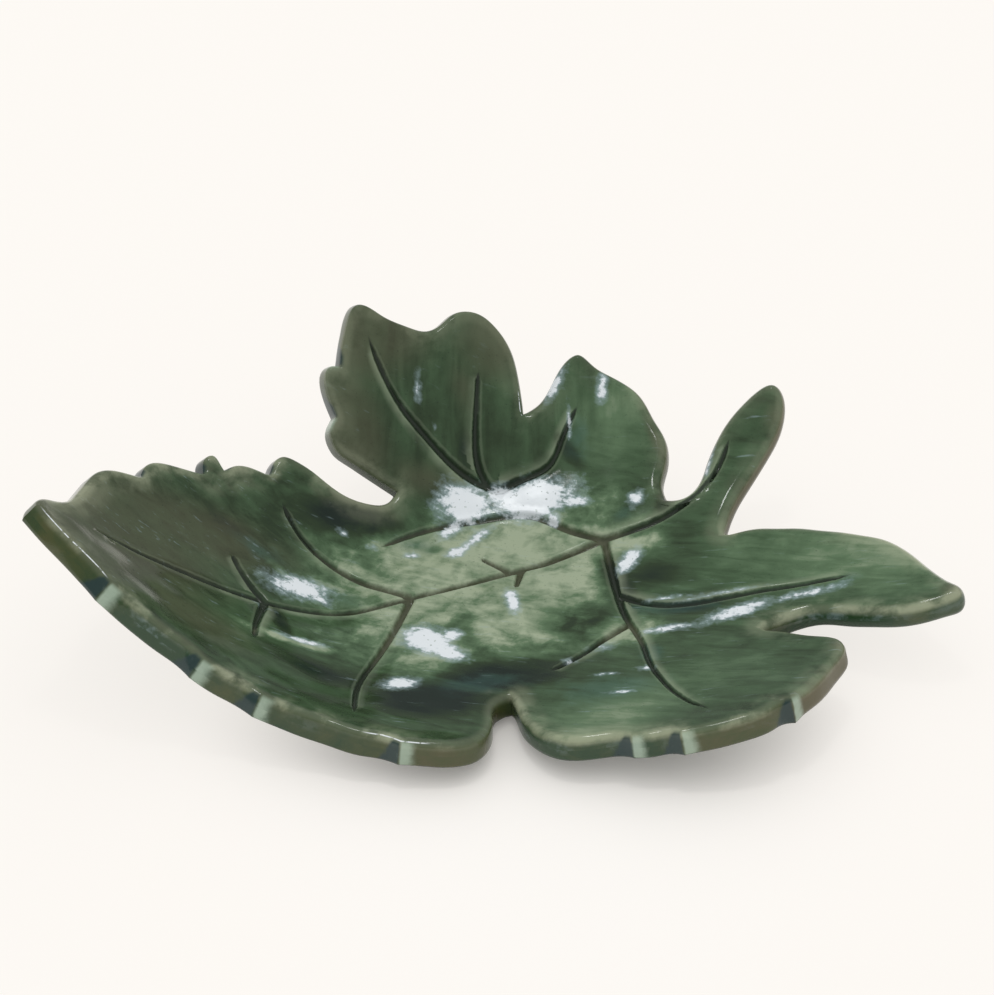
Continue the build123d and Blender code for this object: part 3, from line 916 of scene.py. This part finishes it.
def clay_arrays(sizes):
    """Clay slab inside the glaze, with a round foot that comes down through the back glaze.

    The foot is the part of the lower skin over the patch, moved down to the table. A bevel joins it to a
    ring straight under the skin's.
    """
    shape = leaf_shape(sizes)
    inset = sizes.glaze_thickness + CLAY_GAP
    upper, faces, _, _, _ = coat_side(shape, sizes, "face", inset)
    lower, lower_faces, _, _, _ = coat_side(shape, sizes, "back", inset)
    within = np.hypot(lower[:, 0], lower[:, 1]) < sizes.patch_radius + MERGE_DISTANCE
    within &= lower[:, 2] < sizes.patch_proud + sizes.slab_thickness / 2
    circle = len(shape.rim) + np.arange(PATCH_SIDES)
    lower[circle, :2] *= 1 - CLAY_GAP / sizes.patch_radius
    corner_rings = []
    for height, shrink in ((FOOT_BEVEL, CLAY_GAP), (0, CLAY_GAP + FOOT_BEVEL)):
        ring = lower[circle].copy()
        ring[:, :2] *= (sizes.patch_radius - shrink) / np.hypot(ring[:, 0], ring[:, 1])[:, None]
        ring[:, 2] = height
        corner_rings.append(ring)
    foot = lower.copy()
    foot[:, 2] = 0
    foot[circle] = corner_rings[1]
    inside_faces = within[lower_faces].all(axis=1)
    lower_start, foot_start, ring_start = np.cumsum([len(upper), len(lower), len(foot)])
    ring = ring_start + np.arange(PATCH_SIDES)
    triangles = np.concatenate([
        faces,
        lower_faces[~inside_faces] + lower_start,
        lower_faces[inside_faces] + foot_start,
        stitch(circle + lower_start, ring),
        stitch(ring, circle + foot_start),
    ])
    return np.concatenate([upper, lower, foot, corner_rings[0]]), triangles, {}


class Signal:
    """Output socket of a shader node. Arithmetic on it adds Math nodes."""

    def __init__(self, recipe, socket):
        self.recipe = recipe
        self.socket = socket

    def math(self, operation, *values):
        """Result of one Math node."""
        return self.recipe.node("ShaderNodeMath", {"operation": operation}, values)

    def __add__(self, other):
        return self.math("ADD", self, other)

    def __radd__(self, other):
        return self.math("ADD", other, self)

    def __sub__(self, other):
        return self.math("SUBTRACT", self, other)

    def __rsub__(self, other):
        return self.math("SUBTRACT", other, self)

    def __mul__(self, other):
        return self.math("MULTIPLY", self, other)

    def __rmul__(self, other):
        return self.math("MULTIPLY", other, self)

    def about(self, amount):
        """A noise less its middle value, times an amount."""
        return (self - NOISE_MIDDLE) * amount

    def smooth(self, low, high):
        """0 below the low value, 1 above the high one, and a smooth step between them."""
        inputs = {"Value": self, "From Min": low, "From Max": high}
        return self.recipe.node("ShaderNodeMapRange", {"interpolation_type": "SMOOTHSTEP"}, inputs)

    def band(self, start, full, fade, end):
        """1 between the two middle values, fading to 0 at the outer ones."""
        return self.smooth(start, full) * (1 - self.smooth(fade, end))


class Recipe:
    """Node tree of a material or a world, built call by call."""

    def __init__(self, owner):
        self.owner = owner
        owner.use_nodes = True
        self.tree = owner.node_tree
        self.tree.nodes.clear()

    def node(self, kind, settings=None, inputs=(), output=0):
        """Adds a node: its settings, then each socket's value or link. Gives one output, if it has any."""
        made = self.tree.nodes.new(kind)
        for key, value in (settings or {}).items():
            if key == "stops":
                self.set_stops(made.color_ramp, value)
            else:
                setattr(made, key, value)
        pairs = inputs.items() if isinstance(inputs, dict) else enumerate(inputs)
        for key, value in pairs:
            if isinstance(value, Signal):
                self.tree.links.new(value.socket, made.inputs[key])
            else:
                made.inputs[key].default_value = value
        return Signal(self, made.outputs[output]) if made.outputs else None

    def set_stops(self, ramp, stops):
        """Gives a colour ramp its positions and colours."""
        while len(ramp.elements) < len(stops):
            ramp.elements.new(1)
        for element, (position, colour) in zip(ramp.elements, stops):
            element.position = position
            element.color = opaque(colour)

    def attribute(self, name):
        """One of the piece's own point attributes."""
        return self.node("ShaderNodeAttribute", {"attribute_name": name}, output="Fac")

    def mix(self, factor, first, second):
        """Colour between two colours or colour signals."""
        inputs = {0: factor, 6: paint(first), 7: paint(second)}
        return self.node("ShaderNodeMix", {"data_type": "RGBA"}, inputs, output=2)

    def ramp(self, factor, stops):
        """Colour at the factor's place between the stops."""
        return self.node("ShaderNodeValToRGB", {"stops": stops}, [factor])

    def place(self, lengths, turn=0):
        """Object coordinates along axes turned about Z, in units of the three lengths in millimetres."""
        coordinates = self.node("ShaderNodeTexCoord", output="Object")
        metres = [length / MILLI for length in lengths]
        inputs = {"Vector": coordinates, "Rotation": (0, 0, math.radians(turn)), "Scale": metres}
        return self.node("ShaderNodeMapping", {"vector_type": "TEXTURE"}, inputs)

    def noise(self, lengths, turn=0, detail=3, roughness=0.55, distortion=0):
        """Noise whose grain has these lengths in millimetres, along axes turned about Z."""
        inputs = {"Vector": self.place(lengths, turn), "Scale": 1, "Detail": detail}
        inputs |= {"Roughness": roughness, "Distortion": distortion}
        return self.node("ShaderNodeTexNoise", {}, inputs)

    def finish(self, colour, roughness, height, bump_distance, settings=None):
        """Ends a material's tree in a Principled BSDF with a bump, and gives the material."""
        bump = self.node("ShaderNodeBump", {}, {"Height": height, "Distance": bump_distance, "Strength": 1})
        inputs = {"Base Color": colour, "Roughness": roughness, "Normal": bump, **(settings or {})}
        surface = self.node("ShaderNodeBsdfPrincipled", {}, inputs)
        self.node("ShaderNodeOutputMaterial", {}, {"Surface": surface})
        return self.owner


def opaque(colour):
    """Colour with a fourth value, 1."""
    return (*tuple(colour)[:3], 1)


def paint(value):
    """What a colour socket takes: a link, or a colour with its fourth value."""
    return value if isinstance(value, Signal) else opaque(value)


def paint_rim(recipe, colours, colour, broad, cloud, fine):
    """The coat's colour with the rim painted over it: green to brown sides with a painted bluish sheen,
    pale lip, tooth facets of glaze with painted shade and highlight.

    The edge is the distance inside the rim in millimetres, less than 0 down the side.
    """
    edge = recipe.attribute("edge")
    patchy = broad + cloud.about(0.6)
    worn = edge + broad.about(0.8) + fine.about(0.4)
    side = (1 - worn.smooth(-1.3, 0.3)) * worn.smooth(-7.0, -5.4)
    tone = recipe.attribute("rim_tone") + broad.about(1.3) + cloud.about(1)
    side_colour = recipe.ramp(tone, [
        (0.05, colours.rim_green), (0.50, colours.rim_olive), (0.95, colours.rim_brown),
    ])
    colour = recipe.mix(side * 0.92, colour, side_colour)
    # Painted sheen: a bluish reflection on the green sides below the lip
    sheen = (1 - tone).smooth(0.55, 1.0) * worn.band(-3.4, -2.0, -1.2, -0.4) * cloud.smooth(0.50, 0.66)
    colour = recipe.mix(sheen * 0.4, colour, colours.milk_blue)
    strength = recipe.attribute("lip_tone") * (1 - tone.smooth(0.6, 1.1) * 0.4)
    lip = worn.band(-1.6, -0.2, 0.4, 2.0) * (0.25 + patchy.smooth(0.42, 0.60) * 0.75)
    colour = recipe.mix(lip * strength * 0.60, colour, colours.rim_cream)
    glow = worn.band(0.4, 1.4, 2.0, 4.5) * patchy.smooth(0.40, 0.62)
    colour = recipe.mix(glow * strength * 0.20, colour, colours.rim_cream)
    # Tooth facets: a dark teal cut, pooled glaze with painted shade, and a pale mint corner, thin glaze
    # with a painted highlight
    facing = (1 - edge.smooth(-0.6, 0.8)) * edge.smooth(-5.6, -4.2)
    ragged = cloud.about(1) + fine.about(0.3)
    dark = (recipe.attribute("facet") + ragged).smooth(0.10, 0.80) * facing
    colour = recipe.mix(dark * 0.92, colour, colours.facet_teal)
    mint = (recipe.attribute("mint") + ragged).smooth(0.10, 1.05) * facing
    return recipe.mix(mint * 0.62, colour, colours.facet_mint)


def face_glaze_material(colours):
    """Glossy green glaze of the upper face: streaks, pools, pale floor, worn rim with a painted sheen,
    veins, milky breaks with painted reflections, and painted highlight lines on the lip.

    Each layer is mixed over the ones before it. Its share is an attribute plus noise, through a smooth
    step from nothing to all.
    """
    recipe = Recipe(bpy.data.materials.new("Face glaze"))
    broad = recipe.noise((14, 14, 14))
    brush = recipe.noise((9, 2.0, 3), BRUSH_TURN, detail=4, distortion=0.6)
    drips = recipe.noise((3.0, 18, 10), DRIP_TURN, roughness=0.5, distortion=0.5)
    comb = recipe.noise((4, 0.8, 2), BRUSH_TURN - 5, detail=4, roughness=0.6, distortion=0.8)
    cloud = recipe.noise((4.5, 4, 4), detail=5, roughness=0.6, distortion=0.25)
    fine = recipe.noise((1.0, 1.0, 1.0), roughness=0.6)
    specks = recipe.noise((0.4, 0.4, 0.4), detail=1)
    runs = recipe.attribute("runs")
    streak = brush + (drips - brush) * runs

    pale = recipe.attribute("pale") + broad.about(0.6) + cloud.about(1.3)
    pale = pale.smooth(-0.70, 0.55)
    pool = (recipe.attribute("pool") + broad.about(1) + cloud.about(0.8)).smooth(-0.40, 0.60)
    olive = (recipe.attribute("olive") + streak.about(0.8) + broad.about(0.6)).smooth(-0.5, 0.6)
    teal = (recipe.attribute("teal") + streak.about(1.2) + cloud.about(1.2)).smooth(-0.30, 0.60)
    tone = 0.38 + recipe.attribute("tone") + streak.about(0.50) + broad.about(0.40)
    tone = tone + cloud.about(0.22) + pale * (0.50 + cloud.about(0.8)) - pool * 0.34
    colour = recipe.ramp(tone, [
        (0.0, colours.deep_green), (0.27, colours.forest), (0.48, colours.leaf_green),
        (0.68, colours.sage), (1.0, colours.khaki),
    ])
    colour = recipe.mix(olive * 0.62, colour, colours.vein_olive)
    colour = recipe.mix(teal * 0.40, colour, colours.teal)
    scratch = recipe.noise((8, 0.6, 1.5), BRUSH_TURN + 9, roughness=0.5, distortion=0.5)
    scratch = scratch.smooth(0.60, 0.76) * cloud.smooth(0.46, 0.62) * (1 - runs * 0.7)
    colour = recipe.mix(scratch * 0.35, colour, colours.milk_blue)
    colour = recipe.mix(specks.smooth(0.68, 0.74) * 0.3, colour, colours.deep_green)
    colour = paint_rim(recipe, colours, colour, broad, cloud, fine)
    # Painted highlight: a thin white line along the lip where the glint spots lie
    glint = recipe.attribute("glint").smooth(0, 0.3)
    painted_glint_line = recipe.attribute("edge").band(0.10, 0.22, 0.34, 0.50) * glint
    colour = recipe.mix(painted_glint_line * fine.smooth(0.35, 0.5), colour, colours.milk_white)

    vein = recipe.attribute("vein")
    share = recipe.attribute("vein_share")
    vein_side = recipe.attribute("vein_side")
    rough_vein = vein + fine.about(0.5) + cloud.about(0.5)
    flank = rough_vein.band(0.75, 1.1, 1.3, 3.4) * vein_side.smooth(0.0, 0.8) * patches(broad)
    colour = recipe.mix(flank * share.smooth(0.2, 0.6) * 0.34, colour, colours.khaki)
    pale_line = rough_vein.band(0.75, 1.0, 1.15, 1.7) * share.smooth(0.2, 0.6)
    colour = recipe.mix(pale_line * 0.12, colour, colours.khaki)
    groove = (1 - rough_vein.smooth(0.30, 1.05)) * share.smooth(0.05, 0.35)
    vein_colour = recipe.mix(pale, colours.vein_dark, colours.vein_olive)
    colour = recipe.mix(groove * 0.92, colour, vein_colour)

    # Milky breaks in the glaze and painted reflections of a window, each with a bluish veil round it
    ragged = recipe.attribute("milk") + comb.about(0.7) + cloud.about(1.1) + fine.about(0.9)
    milk = ragged.smooth(-0.05, 0.34) * (1 - groove * 0.15)
    holes = recipe.noise((0.75, 0.75, 0.75), detail=1).smooth(0.66, 0.71)
    milk = milk * (1 - holes * 0.5)
    milk_and_reflection_veil = ragged.smooth(-0.45, 0.05) * 0.34
    colour = recipe.mix(milk_and_reflection_veil * (1 - groove), colour, colours.milk_blue)
    milky = recipe.mix(ragged.smooth(0.0, 0.45), colours.milk_blue, colours.milk_white)
    colour = recipe.mix(milk, colour, milky)

    roughness = 0.08 + fine * 0.06 + milk * 0.12
    height = streak * 0.5 + fine * 0.2 + milk * 0.3
    return recipe.finish(colour, roughness, height, BUMP_DISTANCE, {"IOR": GLAZE_IOR})


def patches(broad):
    """Layer's share that is high in patches over about half of the surface, and low between them."""
    return 0.3 + broad.smooth(0.44, 0.58) * 0.7


def back_glaze_material(colours):
    """The same glaze on the underside, darker, thinner round the bare patch."""
    recipe = Recipe(bpy.data.materials.new("Back glaze"))
    broad = recipe.noise((14, 14, 14))
    brush = recipe.noise((12, 2.2, 3), BRUSH_TURN, detail=4, roughness=0.6, distortion=0.5)
    cloud = recipe.noise((5, 4, 4), detail=5, roughness=0.62, distortion=0.7)
    fine = recipe.noise((1.0, 1.0, 1.0), roughness=0.6)
    tone = 0.36 + brush.about(0.6) + broad.about(0.8) + cloud.about(0.3)
    colour = recipe.ramp(tone, [
        (0.0, colours.deep_green), (0.35, colours.forest), (0.62, colours.leaf_green), (1.0, colours.sage),
    ])
    colour = paint_rim(recipe, colours, colour, broad, cloud, fine)
    thin = 1 - (recipe.attribute("patch_gap") + broad.about(2)).smooth(0.1, 1.2)
    colour = recipe.mix(thin * 0.8, colour, colours.rim_brown)
    height = brush * 0.5 + fine * 0.2
    return recipe.finish(colour, 0.09 + fine * 0.07, height, BUMP_DISTANCE, {"IOR": GLAZE_IOR})


def clay_material(colours):
    """Bare fired clay: sandy, with small dark grog."""
    recipe = Recipe(bpy.data.materials.new("Fired clay"))
    sand = recipe.noise((0.45, 0.45, 0.45), detail=5, roughness=0.7)
    broad = recipe.noise((11, 11, 11))
    grog = recipe.noise((0.7, 0.7, 0.7), detail=2).smooth(0.66, 0.70)
    colour = recipe.mix(broad.smooth(0.3, 0.7) * 0.5, colours.bare_clay, colours.rim_cream)
    colour = recipe.mix(grog * 0.6, colour, colours.rim_brown)
    return recipe.finish(colour, 0.78 + sand * 0.15, sand, CLAY_BUMP_DISTANCE)


def dress(piece, material, node):
    """Gives a piece its material, and hides the solid that it stands for."""
    piece.data.materials.append(material)
    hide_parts(node)
    return {"FINISHED"}


def chosen_sizes():
    """The scene's sizes as a tuple, rounded because the settings are stored as short floats."""
    group = bpy.context.scene.dish_sizes
    return Sizes(*(round(getattr(group, name), SIZE_DIGITS) for name in Sizes._fields))


class DISH_OT_face_glaze(bpy.types.Operator):
    """Adds the glaze of the upper face and of the rim's upper half"""

    bl_idname = "dish.face_glaze"
    bl_label = "Add face glaze"

    def execute(self, context):
        piece = build_mesh("face_glaze_coat", *face_glaze_arrays(chosen_sizes()))
        return dress(piece, face_glaze_material(context.scene.dish_colours), "face_glaze")


class DISH_OT_back_glaze(bpy.types.Operator):
    """Adds the glaze of the underside and of the rim's lower half"""

    bl_idname = "dish.back_glaze"
    bl_label = "Add back glaze"

    def execute(self, context):
        piece = build_mesh("back_glaze_coat", *back_glaze_arrays(chosen_sizes()))
        return dress(piece, back_glaze_material(context.scene.dish_colours), "back_glaze")


class DISH_OT_clay_body(bpy.types.Operator):
    """Adds the clay slab with its bare foot"""

    bl_idname = "dish.clay_body"
    bl_label = "Add clay slab"

    def execute(self, context):
        piece = build_mesh("clay_slab", *clay_arrays(chosen_sizes()))
        return dress(piece, clay_material(context.scene.dish_colours), "clay_body")


def table_material(colours):
    """Matt warm white, whose shadow the camera sees paler than it is, the more so away from the foot."""
    recipe = Recipe(bpy.data.materials.new("Table"))
    colour = opaque(colours.table_white)
    inputs = {"Base Color": colour, "Roughness": 0.9, "Specular IOR Level": 0}
    matt = recipe.node("ShaderNodeBsdfPrincipled", {}, inputs)
    glow = recipe.node("ShaderNodeEmission", {}, {"Color": colour, "Strength": 1})
    camera = recipe.node("ShaderNodeLightPath", output="Is Camera Ray")
    inputs = [recipe.place((1, 1, 1)), SHADOW_MIDDLE]
    far = recipe.node("ShaderNodeVectorMath", {"operation": "DISTANCE"}, inputs, output="Value")
    share = TABLE_GLOW + far.smooth(*SHADOW_FADE) * FAR_GLOW
    surface = recipe.node("ShaderNodeMixShader", {}, [camera * share, matt, glow])
    recipe.node("ShaderNodeOutputMaterial", {}, {"Surface": surface})
    return recipe.owner


def add_table(colours):
    """Square table top at the height that the dish rests on."""
    half = TABLE_WIDTH / 2
    corners = [(-half, -half, 0), (half, -half, 0), (half, half, 0), (-half, half, 0)]
    mesh = bpy.data.meshes.new("table")
    mesh.from_pydata(corners, [], [(0, 1, 2, 3)])
    mesh.materials.append(table_material(colours))
    table = bpy.data.objects.new("table", mesh)
    bpy.context.scene.collection.objects.link(table)


def aim(item, place, target):
    """Puts a lamp or camera at a place, with its -Z axis towards the target."""
    item.location = place
    item.rotation_euler = (Vector(target) - Vector(place)).to_track_quat("-Z", "Y").to_euler()
    bpy.context.scene.collection.objects.link(item)


def direction(azimuth, elevation):
    """Unit vector towards an azimuth, from +X by way of +Y, and an elevation, both in degrees."""
    turn, lift = math.radians(azimuth), math.radians(elevation)
    return Vector((math.cos(lift) * math.cos(turn), math.cos(lift) * math.sin(turn), math.sin(lift)))


def add_lights():
    """Broad soft light from high behind, a small bright panel overhead, and an even surround.

    Glossy reflections see the surround dimmer than it is.
    """
    sun = bpy.data.lights.new("soft_sky", "SUN")
    sun.energy = SKY_STRENGTH
    sun.angle = math.radians(SKY_SPREAD)
    sky = bpy.data.objects.new("soft_sky", sun)
    aim(sky, direction(*SKY_WAY), (0, 0, 0))
    sky.visible_glossy = False
    panel = bpy.data.lights.new("window", "AREA")
    panel.shape = "RECTANGLE"
    panel.size, panel.size_y = WINDOW_SIZE
    panel.energy = WINDOW_POWER
    window = bpy.data.objects.new("window", panel)
    aim(window, direction(*WINDOW_WAY) * WINDOW_DISTANCE, (0, 0, 0))
    recipe = Recipe(bpy.data.worlds.new("surround"))
    glossy = recipe.node("ShaderNodeLightPath", output="Is Glossy Ray")
    strength = SURROUND_STRENGTH + glossy * (SURROUND_SHEEN - SURROUND_STRENGTH)
    inputs = {"Color": opaque(SURROUND_COLOUR), "Strength": strength}
    recipe.node("ShaderNodeOutputWorld", {}, {"Surface": recipe.node("ShaderNodeBackground", {}, inputs)})
    bpy.context.scene.world = recipe.owner


class DISH_OT_stage(bpy.types.Operator):
    """Adds the table, the lights and the camera"""

    bl_idname = "dish.stage"
    bl_label = "Add stage"

    def execute(self, context):
        add_table(context.scene.dish_colours)
        add_lights()
        lens = bpy.data.cameras.new("camera")
        lens.lens = CAMERA_LENS
        lens.sensor_width = CAMERA_SENSOR
        lens.sensor_fit = "HORIZONTAL"
        camera = bpy.data.objects.new("camera", lens)
        aim(camera, CAMERA_PLACE, CAMERA_TARGET)
        context.scene.camera = camera
        context.scene.view_settings.view_transform = "Standard"
        return {"FINISHED"}


class DISH_PT_panel(bpy.types.Panel):
    """Lists the dish's sizes, colours and pieces"""

    bl_idname = "DISH_PT_panel"
    bl_label = "Leaf Ring Dish"
    bl_space_type = "VIEW_3D"
    bl_region_type = "UI"
    bl_category = "Leaf Dish"

    def draw(self, context):
        layout = self.layout
        for group in (context.scene.dish_sizes, context.scene.dish_colours):
            for name in group.__annotations__:
                layout.prop(group, name)
        for operator in PIECE_OPERATORS:
            layout.operator(operator.bl_idname)


PIECE_OPERATORS = (DISH_OT_face_glaze, DISH_OT_back_glaze, DISH_OT_clay_body, DISH_OT_stage)
CLASSES = (DishSizes, DishColours, *PIECE_OPERATORS, DISH_PT_panel)


def register():
    """Adds the classes, and the two groups of settings to every scene."""
    for item in CLASSES:
        bpy.utils.register_class(item)
    bpy.types.Scene.dish_sizes = bpy.props.PointerProperty(type=DishSizes)
    bpy.types.Scene.dish_colours = bpy.props.PointerProperty(type=DishColours)


def unregister():
    """Takes away what register adds, in reverse."""
    del bpy.types.Scene.dish_colours
    del bpy.types.Scene.dish_sizes
    for item in reversed(CLASSES):
        bpy.utils.unregister_class(item)


def main():
    """Builds the dish and its stage."""
    register()
    bpy.ops.dish.face_glaze()
    bpy.ops.dish.back_glaze()
    bpy.ops.dish.clay_body()
    bpy.ops.dish.stage()


if __name__ == "__main__":
    main()
